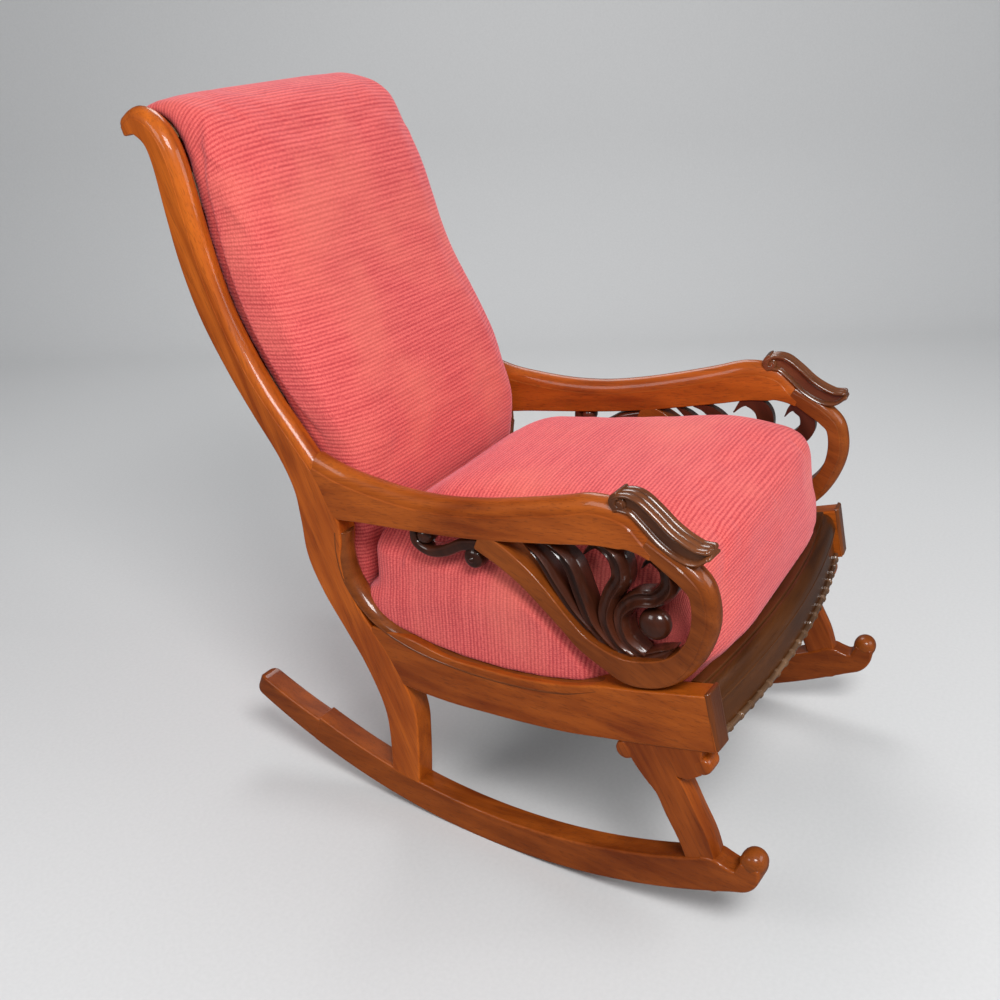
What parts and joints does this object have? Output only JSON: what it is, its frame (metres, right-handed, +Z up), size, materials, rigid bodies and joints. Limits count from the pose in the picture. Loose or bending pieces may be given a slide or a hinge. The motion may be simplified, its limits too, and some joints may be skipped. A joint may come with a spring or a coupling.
{
  "type": "rocking chair",
  "caption": "Upholstered rocking chair with a scrolled back, open scrolled arms, carved arm supports and bow-shaped runners under short shaped legs.",
  "frame": {"origin": "middle of the chair's width and depth at the floor", "axes": "+Z up; the chair faces -Y, with the sitter's right at -X"},
  "size_m": [0.62, 0.9363, 0.9879],
  "materials": {
    "show_wood": "polished dark red-brown hardwood",
    "carved_wood": "polished, darkened in its hollows",
    "frame_wood": "plain sawn hardwood, unpolished",
    "upholstery": "ribbed, matt, dusky pink-red",
    "hessian": "coarse open weave",
    "webbing": "tightly woven strap",
    "bottom_cloth": "thin black cloth",
    "spring_steel": "drawn wire"
  },
  "bodies": {
    "root": {"stile_right": "show_wood", "stile_left": "show_wood", "side_rail_right": "show_wood", "side_rail_left": "show_wood", "arm_rail_right": "show_wood", "arm_rail_left": "show_wood", "arm_cap_right": "carved_wood", "arm_cap_left": "carved_wood", "arm_scroll_right": "show_wood", "arm_scroll_left": "show_wood", "arm_carving_right": "carved_wood", "arm_carving_left": "carved_wood", "front_block_right": "show_wood", "front_block_left": "show_wood", "front_leg_right": "show_wood", "front_leg_left": "show_wood", "runner_right": "show_wood", "runner_left": "show_wood", "front_rail": "show_wood", "front_moulding": "show_wood", "front_beading": "carved_wood", "rear_rail": "show_wood", "crest_rail": "frame_wood", "lower_back_rail": "frame_wood", "front_corner_blocks": "frame_wood", "rear_corner_blocks": "frame_wood", "frame_dowels": "frame_wood", "seat_webbing": "webbing", "seat_springs": "spring_steel", "seat_hessian": "hessian", "seat_pad": "upholstery", "bottom_cloth": "bottom_cloth", "back_webbing": "webbing", "back_springs": "spring_steel", "back_hessian": "hessian", "back_pad": "upholstery", "outside_back": "upholstery"}
  },
  "joints": []
}
